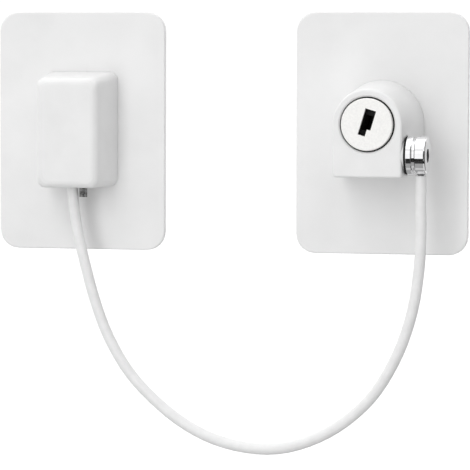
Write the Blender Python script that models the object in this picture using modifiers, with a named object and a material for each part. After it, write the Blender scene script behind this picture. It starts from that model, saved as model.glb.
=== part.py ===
"""A cable lock for a fridge or cupboard door.

A keyed lock stands on one adhesive plate and a cable anchor on the other. The cable hangs between them in
a U, and its free end is a swivelling plug that pushes into the side of the lock. Turning the key moves a
bolt into the groove of the plug's pin.

Metres. +X is right, +Z is up and +Y points into the wall that both plates are stuck to. The origin is the
centre of the back of the lock's adhesive pad. Places are often given as a distance out from the wall,
which is -Y.
"""

import math

import bmesh
import bpy
from mathutils import Matrix, Vector

# Adhesive plates
PLATE_WIDTH = 0.0635
PLATE_HEIGHT = 0.088
PLATE_THICKNESS = 0.002
PLATE_CORNER = 0.007
PLATE_EDGE = 0.0005
PLATE_SPACING = 0.1132
PAD_THICKNESS = 0.001
PAD_INSET = 0.0015

# Clearances
SEAT_GAP = 0.00015
RUNNING_GAP = 0.00015
LATCH_GAP = 0.0003

# Lock housing: an arch in front view, drafted on its top and sides, with an upright underside
LOCK_FRONT = 0.0324
LOCK_ARCH_RADIUS = 0.0125
LOCK_DROP = 0.0189
LOCK_DRAFT = 0.0030
LOCK_CORNER = 0.0012
LOCK_EDGE = 0.0008
LOCK_WALL = 0.002
LOCK_NOSE = 0.010
CYLINDER_RISE = 0.0038

# Cylinder: face disc, rotor, shell and its retaining ring
FACE_RADIUS = 0.00935
FACE_THICKNESS = 0.0015
FACE_PROUD = 0.0006
FACE_RING_GAP = 0.0006
RECESS_DEPTH = 0.0018
RECESS_CHAMFER = 0.0005
FLANGE_THICKNESS = 0.0005
ROTOR_RADIUS = 0.0062
SHELL_WALL = 0.00165
SHELL_BACK = 0.014
ROTOR_OVERHANG = 0.001
RING_THICKNESS = 0.0008
RING_DEPTH = 0.0005
RING_REACH = 0.0013
RING_OPENING = 0.006

# Keyway: measured across and along its own length, which leans to the right
KEYWAY_LEAN = math.radians(17)
KEYWAY_LEFT = 0.0021
KEYWAY_RIGHT = 0.0019
KEYWAY_TOP = 0.0054
KEYWAY_BOTTOM = 0.0043
KEYWAY_STEP_RIGHT = 0.0006
KEYWAY_STEP_HEIGHT = 0.0017
KEYWAY_DEPTH = 0.0172

# Wafers and their springs, in slots across the rotor
WAFER_COUNT = 4
WAFER_THICKNESS = 0.0009
WAFER_PITCH = 0.0026
WAFER_FIRST = 0.0284
WAFER_HALF_WIDTH = 0.0032
WAFER_TRAVEL = 0.0006
WAFER_WINDOW_HALF = 0.0029
WAFER_CUTS = (0.0003, 0.0, 0.0005, 0.0002)
LUG_REACH = 0.0013
LUG_LOW = 0.0006
LUG_HEIGHT = 0.0011
POCKET_HALF_HEIGHT = 0.0029
SPRING_TURNS = 5
SPRING_RADIUS = 0.00036
SPRING_WIRE = 0.0002

# Cam drum on the rotor's square tail
TAIL_SIDE = 0.0044
TAIL_GAP = 0.0003
DRUM_RADIUS = 0.0066
DRUM_FRONT = 0.0127
DRUM_BACK = 0.0055
GROOVE_DEPTH = 0.0021
FOLLOWER_RADIUS = 0.001
FOLLOWER_REST = 0.0077
KEY_TURN = math.radians(90)
BOLT_TRAVEL = 0.0025
CAM_SCREW_HEAD = 0.0034
CAM_SCREW_HEAD_HEIGHT = 0.0012
CAM_SCREW_SHANK = 0.00125
CAM_SCREW_LENGTH = 0.006

# Plug: a grooved pin, pushed in from the lock's right side, below the cylinder
PIN_STANDOFF = 0.0265
PIN_DROP = 0.0110
PIN_RADIUS = 0.00275
PIN_BORE_GAP = 0.00025
PIN_TIP = 0.0049
PIN_TIP_CHAMFER = 0.0006
PIN_GROOVE_START = 0.0064
PIN_GROOVE_END = 0.009
PIN_GROOVE_RADIUS = 0.00175
COLLAR_RADIUS = 0.00693
COLLAR_LENGTH = 0.00225
COLLAR_SEAT = 0.0130
PLUG_BOSS_RADIUS = 0.0058
WASHER_THICKNESS = 0.0004
WASHER_MARGIN = 0.0002
NECK_RADIUS = 0.0058
NECK_LENGTH = 0.0009
SPIGOT_RADIUS = 0.0018
RIM_BREAK = 0.0003
PLUG_PULL = 0.0088

# Swivel head, which turns on the plug's spigot and holds the cable
HEAD_LENGTH = 0.0039
HEAD_END_ROUND = 0.0006
HEAD_RECESS_RADIUS = 0.0025
HEAD_RECESS_DEPTH = 0.0014
PIVOT_SCREW_HEAD = 0.0023
PIVOT_SCREW_HEAD_HEIGHT = 0.0006
PIVOT_SCREW_SHANK = 0.001
PIVOT_SCREW_LENGTH = 0.005
PIVOT_SCREW_SOCKET = 0.001
SOCKET_FLOOR = 0.0006

# Bolt: a carriage under the drum, an arm and a nose
BOLT_LEFT = 0.003
BOLT_ARM_WIDTH = 0.0036
BOLT_NOSE_WIDTH = 0.002
BOLT_NOSE_LENGTH = 0.003
BOLT_HALF_HEIGHT = 0.002
BOLT_FLOOR = 0.0025
BOLT_CARRIAGE_BACK = 0.0056
BOLT_CARRIAGE_FRONT = 0.0104
NOSE_GROOVE_GAP = 0.00025
GUIDE_THICKNESS = 0.0015
GUIDE_BACK = 0.004

# Cable: steel rope in a plastic sheath
CABLE_DIAMETER = 0.004
ROPE_DIAMETER = 0.003
ROPE_END_DIAMETER = 0.0022
ROPE_HOLE_GAP = 0.00015
CABLE_END_GAP = 0.0003
CABLE_SIDE = 0.00045
CABLE_STEP = 0.0088

# Anchor housing: drafted on its top and sides, with an upright underside, and what holds the rope in it
ANCHOR_FRONT = 0.0243
ANCHOR_FACE_WIDTH = 0.0230
ANCHOR_FACE_HEIGHT = 0.0401
ANCHOR_DROP = 0.0205
ANCHOR_DRAFT = 0.0023
ANCHOR_CORNER = 0.003
ANCHOR_EDGE = 0.0024
ANCHOR_WALL = 0.002
CABLE_STANDOFF = 0.0153
CABLE_HOLE_GAP = 0.0003
CABLE_INSIDE = 0.0035
TAIL_OFFSET = 0.004
TAIL_SHOWING = 0.0035
LOOP_RADIUS = 0.0042
LOOP_RISE = 0.0105
LOOP_WRAP = math.radians(20)
ROPE_STEP = 0.0014
SLEEVE_START = 0.005
SLEEVE_LENGTH = 0.0065
SLEEVE_HALF_DEPTH = 0.0024
SLEEVE_MARGIN = 0.0009
SLEEVE_CORNER = 0.0022
POST_RADIUS = 0.0025
POST_HEAD_RADIUS = 0.0036
POST_HEAD_HEIGHT = 0.001

# Countersunk screws that hold housings and post to their plates
SCREW_SHANK = 0.00115
SCREW_HEAD = 0.0026
SCREW_CONE = 0.0013
SCREW_TIP = 0.0105
SCREW_HOLE_GAP = 0.0002
SCREW_SLOT = 0.0007
BOSS_RADIUS = 0.0026
LOCK_SCREW_TOP = 0.0013
LOCK_SCREW_SIDE = 0.0040
LOCK_SCREW_LOW = 0.0045
ANCHOR_SCREW_TOP = 0.0051
ANCHOR_SCREW_SIDE = 0.0033
ANCHOR_SCREW_LOW = 0.0083
BOSS_HEIGHT = 0.010

# Places that follow from the sizes above
PLATE_BACK = PAD_THICKNESS + SEAT_GAP
PLATE_FRONT = PLATE_BACK + PLATE_THICKNESS
HOUSING_BACK = PLATE_FRONT + SEAT_GAP
NOSE_BACK = LOCK_FRONT - LOCK_NOSE
RECESS_FLOOR = LOCK_FRONT - RECESS_DEPTH
RECESS_RADIUS = FACE_RADIUS + FACE_RING_GAP
FLANGE_BACK = RECESS_FLOOR + SEAT_GAP
FLANGE_RADIUS = RECESS_RADIUS - RUNNING_GAP
DISC_FRONT = LOCK_FRONT + FACE_PROUD
DISC_BACK = DISC_FRONT - FACE_THICKNESS
ROTOR_FRONT = DISC_BACK - SEAT_GAP
ROTOR_BACK = SHELL_BACK - ROTOR_OVERHANG
BORE_RADIUS = ROTOR_RADIUS + RUNNING_GAP
SHELL_RADIUS = BORE_RADIUS + SHELL_WALL
WAFER_RADIUS = ROTOR_RADIUS - RUNNING_GAP
TAIL_BACK = DRUM_BACK + SEAT_GAP
PIN_HEIGHT = CYLINDER_RISE - PIN_DROP
PIN_BORE_RADIUS = PIN_RADIUS + PIN_BORE_GAP
WASHER_START = COLLAR_SEAT + SEAT_GAP
COLLAR_START = WASHER_START + WASHER_THICKNESS + SEAT_GAP
COLLAR_END = COLLAR_START + COLLAR_LENGTH
NECK_END = COLLAR_END + NECK_LENGTH
HEAD_START = NECK_END + SEAT_GAP
HEAD_END = HEAD_START + HEAD_LENGTH
RECESS_START = HEAD_END - HEAD_RECESS_DEPTH
SPIGOT_END = RECESS_START + SEAT_GAP
SPIGOT_BORE = SPIGOT_RADIUS + RUNNING_GAP
CABLE_X = (HEAD_START + HEAD_END) / 2 - CABLE_SIDE
ANCHOR_X = -PLATE_SPACING
CABLE_TOP = PIN_HEIGHT - COLLAR_RADIUS - CABLE_END_GAP
NOSE_LOCKED = PIN_STANDOFF - PIN_GROOVE_RADIUS - NOSE_GROOVE_GAP
NOSE_REST = NOSE_LOCKED - BOLT_TRAVEL
NOSE_X = (PIN_GROOVE_START + PIN_GROOVE_END) / 2
ARM_FRONT = NOSE_REST - BOLT_NOSE_LENGTH
BOLT_RIGHT = NOSE_X + BOLT_ARM_WIDTH / 2
BOLT_BOTTOM = PIN_HEIGHT - BOLT_FLOOR
BOLT_TOP = CYLINDER_RISE - DRUM_RADIUS - LATCH_GAP

# Screw places on each plate, across and up
LOCK_SCREWS = (
    (0.0, CYLINDER_RISE + LOCK_ARCH_RADIUS - LOCK_SCREW_TOP),
    (LOCK_SCREW_SIDE - LOCK_ARCH_RADIUS, CYLINDER_RISE - LOCK_DROP + LOCK_SCREW_LOW),
)
ANCHOR_SCREWS = (
    (ANCHOR_X, ANCHOR_FACE_HEIGHT - ANCHOR_DROP - ANCHOR_SCREW_TOP),
    (ANCHOR_X - ANCHOR_FACE_WIDTH / 2 + ANCHOR_SCREW_SIDE, ANCHOR_SCREW_LOW - ANCHOR_DROP),
)
CABLE_LOW = CABLE_INSIDE - ANCHOR_DROP
SLEEVE_LOW = SLEEVE_START - ANCHOR_DROP
SLEEVE_HIGH = SLEEVE_LOW + SLEEVE_LENGTH
LOOP_CENTRE_HEIGHT = SLEEVE_HIGH + LOOP_RISE
POST_PLACE = (ANCHOR_X + TAIL_OFFSET / 2, LOOP_CENTRE_HEIGHT)
POST_FRONT = CABLE_STANDOFF + ROPE_DIAMETER / 2 + LATCH_GAP + POST_HEAD_HEIGHT

# The cable's route from the anchor to the plug: across, out from the wall, and up
CABLE_ROUTE = (
    (-0.1129, 0.0154, -0.0255),
    (-0.1119, 0.0155, -0.0330),
    (-0.1096, 0.0157, -0.0438),
    (-0.1044, 0.0162, -0.0622),
    (-0.0980, 0.0167, -0.0775),
    (-0.0880, 0.0175, -0.0917),
    (-0.0715, 0.0189, -0.1053),
    (-0.0542, 0.0204, -0.1127),
    (-0.0345, 0.0220, -0.1141),
    (-0.0158, 0.0236, -0.1077),
    (-0.0004, 0.0249, -0.0955),
    (0.0096, 0.0258, -0.0800),
    (0.0155, 0.0263, -0.0635),
    (0.0181, 0.0265, -0.0470),
    (0.0186, 0.0265, -0.0340),
    (0.0184, 0.0265, -0.0240),
)

# Colour, roughness and metallic value of each finish
FINISHES = {
    "white_plastic": ((0.83, 0.83, 0.84), 0.28, 0.0),
    "white_enamel": ((0.80, 0.80, 0.81), 0.32, 0.0),
    "white_sheath": ((0.80, 0.80, 0.80), 0.38, 0.0),
    "foam_tape": ((0.86, 0.86, 0.84), 0.85, 0.0),
    "satin_nickel": ((0.80, 0.79, 0.75), 0.30, 1.0),
    "chrome": ((0.86, 0.86, 0.87), 0.08, 1.0),
    "zinc": ((0.58, 0.58, 0.60), 0.42, 1.0),
    "steel": ((0.52, 0.52, 0.54), 0.34, 1.0),
    "dark_zinc": ((0.10, 0.10, 0.11), 0.45, 1.0),
    "black_rubber": ((0.02, 0.02, 0.02), 0.6, 0.0),
}

ROUND_SIDES = 48
SMALL_SIDES = 24
CORNER_STEPS = 6
ARCH_STEPS = 28
EDGE_STEPS = 4
SHARP_ANGLE = math.radians(35)
ROUTE_DETAIL = 20
GROOVE_STEPS = 20
LOOP_STEPS = 8
SPRING_SIDES = 10
HEXAGON = 6
OVERRUN = 0.001
AXIS_MERGE = 0.00001


# Scene and materials


def clear_scene():
    for obj in list(bpy.data.objects):
        bpy.data.objects.remove(obj, do_unlink=True)
    for group in list(bpy.data.collections):
        bpy.data.collections.remove(group)


def new_group(name):
    group = bpy.data.collections.new(name)
    bpy.context.scene.collection.children.link(group)
    return group


def finish(name):
    if name in bpy.data.materials:
        return bpy.data.materials[name]
    colour, roughness, metallic = FINISHES[name]
    material = bpy.data.materials.new(name)
    material.use_nodes = True
    shader = material.node_tree.nodes["Principled BSDF"]
    shader.inputs["Base Color"].default_value = (*colour, 1.0)
    shader.inputs["Roughness"].default_value = roughness
    shader.inputs["Metallic"].default_value = metallic
    return material


# Placing, joining and cutting


def at(across, out, up):
    """A point from its distance across, out from the wall, and up."""
    return Vector((across, -out, up))


def new_object(name, mesh):
    obj = bpy.data.objects.new(name, mesh)
    parts.objects.link(obj)
    return obj


def object_from(name, bm):
    bmesh.ops.recalc_face_normals(bm, faces=bm.faces)
    mesh = bpy.data.meshes.new(name)
    bm.to_mesh(mesh)
    bm.free()
    mesh.shade_smooth()
    mesh.set_sharp_from_angle(angle=SHARP_ANGLE)
    return new_object(name, mesh)


def boolean(target, tool, operation):
    """Joins the tool to the target or cuts it away, and keeps the tool as a hidden guide."""
    parts.objects.unlink(tool)
    cutters.objects.link(tool)
    tool.hide_render = True
    tool.display_type = "WIRE"
    modifier = target.modifiers.new(tool.name, "BOOLEAN")
    modifier.operation = operation
    modifier.solver = "EXACT"
    modifier.object = tool
    if target.parent:
        carry(tool, target.parent)
    return target


def cut(target, *tools):
    for tool in tools:
        boolean(target, tool, "DIFFERENCE")
    return target


def join(target, *tools):
    for tool in tools:
        boolean(target, tool, "UNION")
    return target


def axis_empty(name, place, parent=None):
    """An empty on a joint's axis, which carries the pieces that move on it."""
    empty = bpy.data.objects.new(name, None)
    empty.empty_display_size = 0.004
    parts.objects.link(empty)
    empty.location = place
    if parent:
        empty.location = place - parent.matrix_world.translation
        empty.parent = parent
    bpy.context.view_layer.update()
    return empty


def carry(obj, parent):
    obj.parent = parent
    obj.matrix_parent_inverse = parent.matrix_world.inverted()


def dress(obj, material, parent=None):
    """Gives a piece its finish and the empty that carries it, with its cutters."""
    obj.data.materials.append(finish(material))
    if parent:
        carry(obj, parent)
        for modifier in obj.modifiers:
            if modifier.type == "BOOLEAN":
                carry(modifier.object, parent)
    return obj


# Shapes


def box(name, low, high):
    bm = bmesh.new()
    bmesh.ops.create_cube(bm, size=1.0)
    bmesh.ops.scale(bm, vec=Vector(high) - Vector(low), verts=bm.verts)
    bmesh.ops.translate(bm, vec=(Vector(high) + Vector(low)) / 2, verts=bm.verts)
    return object_from(name, bm)


def block(name, across, out, up):
    """A box from its spans across, out from the wall, and up."""
    return box(name, (across[0], -out[1], up[0]), (across[1], -out[0], up[1]))


def rod(name, radius, start, end, sides=ROUND_SIDES):
    bm = bmesh.new()
    span = end - start
    bmesh.ops.create_cone(
        bm, cap_ends=True, segments=sides, radius1=radius, radius2=radius, depth=span.length
    )
    turn = Vector((0, 0, 1)).rotation_difference(span).to_matrix()
    bmesh.ops.rotate(bm, matrix=turn, cent=(0, 0, 0), verts=bm.verts)
    bmesh.ops.translate(bm, vec=(start + end) / 2, verts=bm.verts)
    return object_from(name, bm)


def turned(name, base, direction, profile, sides=ROUND_SIDES, closed=False):
    """A profile of (radius, height) pairs, from the top down its outer side, turned about an axis."""
    bm = bmesh.new()
    points = [bm.verts.new((radius, 0, height)) for radius, height in profile]
    for first, second in zip(points, points[1:]):
        bm.edges.new((first, second))
    if closed:
        bm.edges.new((points[-1], points[0]))
    mesh = bpy.data.meshes.new(name)
    bm.to_mesh(mesh)
    bm.free()
    obj = new_object(name, mesh)
    obj.location = base
    obj.rotation_euler = Vector((0, 0, 1)).rotation_difference(Vector(direction)).to_euler()
    bpy.context.view_layer.update()
    screw = obj.modifiers.new("Screw", "SCREW")
    screw.axis = "Z"
    screw.angle = math.tau
    screw.steps = sides
    screw.render_steps = sides
    screw.use_merge_vertices = True
    screw.merge_threshold = AXIS_MERGE
    screw.use_smooth_shade = True
    return obj


def prism(name, points, back, front):
    """A flat outline, given across and up, drawn out from one distance from the wall to another."""
    bm = bmesh.new()
    rear = [bm.verts.new((x, -back, z)) for x, z in points]
    fore = [bm.verts.new((x, -front, z)) for x, z in points]
    close_loft(bm, [rear, fore])
    return object_from(name, bm)


def close_loft(bm, rings):
    """Skins rings of equal count and closes both ends."""
    for lower, upper in zip(rings, rings[1:]):
        for i, vertex in enumerate(lower):
            j = (i + 1) % len(lower)
            bm.faces.new((vertex, lower[j], upper[j], upper[i]))
    bm.faces.new(rings[0])
    bm.faces.new(reversed(rings[-1]))


def arc(centre, radius, start, end, steps):
    """Points of an arc, angles in radians from +X towards +Z."""
    for step in range(steps + 1):
        angle = start + (end - start) * step / steps
        yield centre[0] + radius * math.cos(angle), centre[1] + radius * math.sin(angle)


def rounded_rectangle(centre, width, height, corner, upright_floor=False):
    """An outline as a function of how far draft and edge draw it in; an upright floor takes no draft."""

    def outline(drafted, rounded):
        inset = drafted + rounded + corner
        left = centre[0] - width / 2 + inset
        right = centre[0] + width / 2 - inset
        top = centre[1] + height / 2 - inset
        floor = centre[1] - height / 2 + inset
        if upright_floor:
            floor -= drafted
        points = []
        for quarter, middle in enumerate(((right, top), (left, top), (left, floor), (right, floor))):
            start = quarter * math.pi / 2
            points += arc(middle, corner, start, start + math.pi / 2, CORNER_STEPS)
        return points

    return outline


def arch(radius, drop, corner):
    """A round-topped outline about the cylinder's axis, whose straight underside has no draft."""

    def outline(drafted, rounded):
        reach = radius - drafted - rounded
        floor = CYLINDER_RISE - drop + rounded + corner
        points = list(arc((0, CYLINDER_RISE), reach, 0, math.pi, ARCH_STEPS))
        points += arc((corner - reach, floor), corner, math.pi, 1.5 * math.pi, CORNER_STEPS)
        points += arc((reach - corner, floor), corner, 1.5 * math.pi, math.tau, CORNER_STEPS)
        return points

    return outline


def moulding(name, outline, back, front, draft=0.0, edge=0.0):
    """A drafted block that stands out from the wall, with its front edge rounded."""
    sections = [(back, 0.0, 0.0)]
    for step in range(EDGE_STEPS + 1) if edge else (EDGE_STEPS,):
        angle = math.pi / 2 * step / EDGE_STEPS
        out = front - edge + edge * math.sin(angle)
        sections.append((out, draft * (out - back) / (front - back), edge * (1 - math.cos(angle))))
    bm = bmesh.new()
    rings = []
    for out, drafted, rounded in sections:
        rings.append([bm.verts.new((x, -out, z)) for x, z in outline(drafted, rounded)])
    close_loft(bm, rings)
    return object_from(name, bm)


def smooth_route(controls, step):
    """Even points along a smooth curve through the control points."""
    padded = [2 * controls[0] - controls[1], *controls, 2 * controls[-1] - controls[-2]]
    dense = []
    for a, b, c, d in zip(padded, padded[1:], padded[2:], padded[3:]):
        for i in range(ROUTE_DETAIL):
            t = i / ROUTE_DETAIL
            dense.append(
                b
                + (c - a) * (t / 2)
                + (2 * a - 5 * b + 4 * c - d) * (t * t / 2)
                + (3 * b - a - 3 * c + d) * (t**3 / 2)
            )
    dense.append(controls[-1])
    lengths = [0.0]
    for first, second in zip(dense, dense[1:]):
        lengths.append(lengths[-1] + (second - first).length)
    count = max(2, round(lengths[-1] / step))
    points = []
    place = 0
    for i in range(count + 1):
        wanted = lengths[-1] * i / count
        while place < len(dense) - 2 and lengths[place + 1] < wanted:
            place += 1
        share = (wanted - lengths[place]) / (lengths[place + 1] - lengths[place])
        points.append(dense[place].lerp(dense[place + 1], share))
    return points


def tube(name, points, diameter, resolution=2):
    """A closed tube along the points, as a mesh with welded caps."""
    curve = bpy.data.curves.new(name, "CURVE")
    curve.dimensions = "3D"
    curve.bevel_depth = diameter / 2
    curve.bevel_resolution = resolution
    curve.use_fill_caps = True
    spline = curve.splines.new("POLY")
    spline.points.add(len(points) - 1)
    for spline_point, point in zip(spline.points, points):
        spline_point.co = (*point, 1.0)
    guide = new_object(name + "_guide", curve)
    graph = bpy.context.evaluated_depsgraph_get()
    mesh = bpy.data.meshes.new_from_object(guide.evaluated_get(graph))
    bm = bmesh.new()
    bm.from_mesh(mesh)
    bmesh.ops.remove_doubles(bm, verts=bm.verts, dist=AXIS_MERGE)
    obj = object_from(name, bm)
    obj.matrix_world = guide.matrix_world
    bpy.data.objects.remove(guide, do_unlink=True)
    bpy.data.meshes.remove(mesh)
    return obj


def leaned(across, along):
    """A point on the cylinder's face, given across and along the keyway."""
    x = across * math.cos(KEYWAY_LEAN) + along * math.sin(KEYWAY_LEAN)
    z = along * math.cos(KEYWAY_LEAN) - across * math.sin(KEYWAY_LEAN)
    return x, CYLINDER_RISE + z


def strip_of_disc(half_width, radius):
    """The outline of a round bar's section between two flats, across and along the keyway."""
    reach = math.asin(half_width / radius)
    upper = list(arc((0, 0), radius, math.pi / 2 - reach, math.pi / 2 + reach, 8))
    return upper + [(-x, -z) for x, z in upper]


# Plates, pads and screws


def countersunk_profile(gap, tip):
    """A countersunk screw's outline, or its hole's with a gap, from the tip down to the head."""
    head = SCREW_HEAD + gap
    shank = SCREW_SHANK + gap
    return [(0, tip), (shank, tip), (shank, SCREW_CONE + gap), (head, gap), (head, 0), (0, 0)]


def screw_hole(name, place, tip):
    return turned(
        name, at(place[0], PLATE_BACK - OVERRUN, place[1]), (0, -1, 0),
        [(r, h + OVERRUN if h else h) for r, h in countersunk_profile(SCREW_HOLE_GAP, tip)],
        SMALL_SIDES,
    )


def countersunk_screw(name, place, parent=None):
    start = PLATE_BACK + SCREW_HOLE_GAP
    screw = turned(
        name, at(place[0], start, place[1]), (0, -1, 0), countersunk_profile(0, SCREW_TIP - start),
        SMALL_SIDES,
    )
    slot = block(
        name + "_slot",
        (place[0] - SCREW_HEAD - OVERRUN, place[0] + SCREW_HEAD + OVERRUN),
        (start - OVERRUN, start + SCREW_SLOT),
        (place[1] - SCREW_SLOT / 2, place[1] + SCREW_SLOT / 2),
    )
    cut(screw, slot)
    return dress(screw, "steel", parent)


def plate_and_pad(side, centre, screws, parent=None):
    """A base plate with countersunk holes, and the foam pad behind it."""
    plate = moulding(
        side + "_base_plate",
        rounded_rectangle(centre, PLATE_WIDTH, PLATE_HEIGHT, PLATE_CORNER),
        PLATE_BACK, PLATE_FRONT, edge=PLATE_EDGE,
    )
    for number, place in enumerate(screws, 1):
        cut(plate, screw_hole(f"{side}_plate_hole_{number}", place, PLATE_THICKNESS + OVERRUN))
    dress(plate, "white_plastic", parent)
    pad = moulding(
        side + "_adhesive_pad",
        rounded_rectangle(
            centre, PLATE_WIDTH - 2 * PAD_INSET, PLATE_HEIGHT - 2 * PAD_INSET, PLATE_CORNER - PAD_INSET
        ),
        0.0, PAD_THICKNESS,
    )
    dress(pad, "foam_tape", parent)


def boss_and_hole(housing, number, place, front):
    """A boss inside a housing, with the hole that its screw bites in."""
    boss = rod(
        f"{housing.name}_boss_{number}", BOSS_RADIUS, at(place[0], HOUSING_BACK, place[1]),
        at(place[0], front, place[1]), SMALL_SIDES,
    )
    hole = rod(
        f"{housing.name}_hole_{number}", SCREW_SHANK + SCREW_HOLE_GAP,
        at(place[0], HOUSING_BACK - OVERRUN, place[1]), at(place[0], SCREW_TIP + OVERRUN, place[1]),
        SMALL_SIDES,
    )
    join(housing, boss)
    return hole


# Lock half


def lock_draft_to(out):
    """How far the lock's side has drawn in at a distance out from the wall."""
    return LOCK_DRAFT * (out - HOUSING_BACK) / (LOCK_FRONT - HOUSING_BACK)


def lock_housing():
    """A shell closed in front by a solid nose, which is bored for the cylinder and the plug."""
    radius = LOCK_ARCH_RADIUS + LOCK_DRAFT
    housing = moulding(
        "lock_housing", arch(radius, LOCK_DROP, LOCK_CORNER), HOUSING_BACK, LOCK_FRONT, LOCK_DRAFT,
        LOCK_EDGE,
    )
    cavity = moulding(
        "lock_cavity", arch(radius - LOCK_WALL, LOCK_DROP - LOCK_WALL, LOCK_CORNER),
        HOUSING_BACK - OVERRUN, NOSE_BACK, lock_draft_to(NOSE_BACK),
    )
    cut(housing, cavity)
    floor = (BOLT_BOTTOM - RUNNING_GAP - GUIDE_THICKNESS, BOLT_BOTTOM - RUNNING_GAP)
    rail_top = PIN_HEIGHT
    depth = (GUIDE_BACK, NOSE_BACK + OVERRUN)
    left = (-BOLT_LEFT - RUNNING_GAP - GUIDE_THICKNESS, -BOLT_LEFT - RUNNING_GAP)
    right = (BOLT_RIGHT + RUNNING_GAP, BOLT_RIGHT + RUNNING_GAP + GUIDE_THICKNESS)
    join(
        housing,
        rod(
            "plug_boss", PLUG_BOSS_RADIUS, at(LOCK_ARCH_RADIUS - LOCK_EDGE, PIN_STANDOFF, PIN_HEIGHT),
            at(COLLAR_SEAT, PIN_STANDOFF, PIN_HEIGHT),
        ),
        block("guide_floor", (left[0], right[1]), depth, floor),
        block("guide_left", left, depth, (floor[0], rail_top)),
        block("guide_right", right, depth, (floor[0], rail_top)),
    )
    holes = [
        boss_and_hole(housing, 1, LOCK_SCREWS[0], BOSS_HEIGHT + HOUSING_BACK),
        boss_and_hole(housing, 2, LOCK_SCREWS[1], NOSE_BACK + OVERRUN),
    ]
    nose_half = BOLT_NOSE_WIDTH / 2 + RUNNING_GAP
    pin_axis = (PIN_STANDOFF, PIN_HEIGHT)
    cut(
        housing,
        *holes,
        rod(
            "cylinder_bore", SHELL_RADIUS + RUNNING_GAP,
            at(0, NOSE_BACK - OVERRUN, CYLINDER_RISE), at(0, LOCK_FRONT + OVERRUN, CYLINDER_RISE),
        ),
        turned(
            "face_recess", at(0, 0, CYLINDER_RISE), (0, -1, 0),
            [
                (0, LOCK_FRONT + OVERRUN), (RECESS_RADIUS + RECESS_CHAMFER, LOCK_FRONT + OVERRUN),
                (RECESS_RADIUS + RECESS_CHAMFER, LOCK_FRONT),
                (RECESS_RADIUS, LOCK_FRONT - RECESS_CHAMFER),
                (RECESS_RADIUS, RECESS_FLOOR), (0, RECESS_FLOOR),
            ],
        ),
        rod(
            "pin_bore", PIN_BORE_RADIUS, at(PIN_TIP - LATCH_GAP, *pin_axis),
            at(COLLAR_SEAT + OVERRUN, *pin_axis), SMALL_SIDES,
        ),
        rod(
            "collar_seat", COLLAR_RADIUS + LATCH_GAP, at(COLLAR_SEAT, *pin_axis),
            at(COLLAR_SEAT + LOCK_DRAFT, *pin_axis),
        ),
        block(
            "nose_slot", (NOSE_X - nose_half, NOSE_X + nose_half), (NOSE_BACK - OVERRUN, PIN_STANDOFF),
            (PIN_HEIGHT - BOLT_HALF_HEIGHT - RUNNING_GAP, PIN_HEIGHT + BOLT_HALF_HEIGHT + RUNNING_GAP),
        ),
    )
    return dress(housing, "white_enamel")


def cylinder_shell():
    """The fixed sleeve that the rotor turns in, grooved for the wafers and for its retaining ring."""
    groove_front = NOSE_BACK - SEAT_GAP + RUNNING_GAP / 2
    groove_back = groove_front - RING_THICKNESS - RUNNING_GAP
    flange_front = FLANGE_BACK + FLANGE_THICKNESS
    shell = turned(
        "cylinder_shell", at(0, 0, CYLINDER_RISE), (0, -1, 0),
        [
            (FLANGE_RADIUS, flange_front), (FLANGE_RADIUS, FLANGE_BACK), (SHELL_RADIUS, FLANGE_BACK),
            (SHELL_RADIUS, groove_front), (SHELL_RADIUS - RING_DEPTH, groove_front),
            (SHELL_RADIUS - RING_DEPTH, groove_back), (SHELL_RADIUS, groove_back),
            (SHELL_RADIUS, SHELL_BACK), (BORE_RADIUS, SHELL_BACK), (BORE_RADIUS, flange_front),
        ],
        closed=True,
    )
    strip = strip_of_disc(
        WAFER_HALF_WIDTH + 2 * RUNNING_GAP, WAFER_RADIUS + WAFER_TRAVEL + 2 * RUNNING_GAP
    )
    front = WAFER_FIRST + WAFER_THICKNESS
    cut(
        shell,
        prism("wafer_grooves_locked", [leaned(v, u) for v, u in strip], SHELL_BACK - OVERRUN, front),
        prism("wafer_grooves_turned", [leaned(u, -v) for v, u in strip], SHELL_BACK - OVERRUN, front),
    )
    dress(shell, "dark_zinc")
    ring = turned(
        "cylinder_retaining_ring", at(0, 0, CYLINDER_RISE), (0, -1, 0),
        [
            (SHELL_RADIUS + RING_REACH, groove_front - RUNNING_GAP / 2),
            (SHELL_RADIUS + RING_REACH, groove_back + RUNNING_GAP / 2),
            (SHELL_RADIUS - RING_DEPTH + RUNNING_GAP, groove_back + RUNNING_GAP / 2),
            (SHELL_RADIUS - RING_DEPTH + RUNNING_GAP, groove_front - RUNNING_GAP / 2),
        ],
        closed=True,
    )
    reach = SHELL_RADIUS + RING_REACH + OVERRUN
    opening = block(
        "ring_opening", (-RING_OPENING / 2, RING_OPENING / 2),
        (groove_back - OVERRUN, NOSE_BACK + OVERRUN),
        (CYLINDER_RISE, CYLINDER_RISE + reach),
    )
    cut(ring, opening)
    dress(ring, "steel")


# Rotor, wafers and cam


def keyway_cutter(name):
    corners = (
        (-KEYWAY_LEFT, KEYWAY_TOP),
        (KEYWAY_RIGHT, KEYWAY_TOP),
        (KEYWAY_RIGHT, -KEYWAY_STEP_HEIGHT),
        (KEYWAY_STEP_RIGHT, -KEYWAY_STEP_HEIGHT),
        (KEYWAY_STEP_RIGHT, -KEYWAY_BOTTOM),
        (-KEYWAY_LEFT, -KEYWAY_BOTTOM),
    )
    return prism(
        name, [leaned(*corner) for corner in corners], DISC_FRONT - KEYWAY_DEPTH, DISC_FRONT + OVERRUN
    )


def rectangle(left, right, low, high):
    return [(left, low), (right, low), (right, high), (left, high)]


def wafer_place(number):
    """How far out a wafer's middle is, and which way along the keyway it springs."""
    return WAFER_FIRST - WAFER_PITCH * number, 1 if number % 2 == 0 else -1


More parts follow.
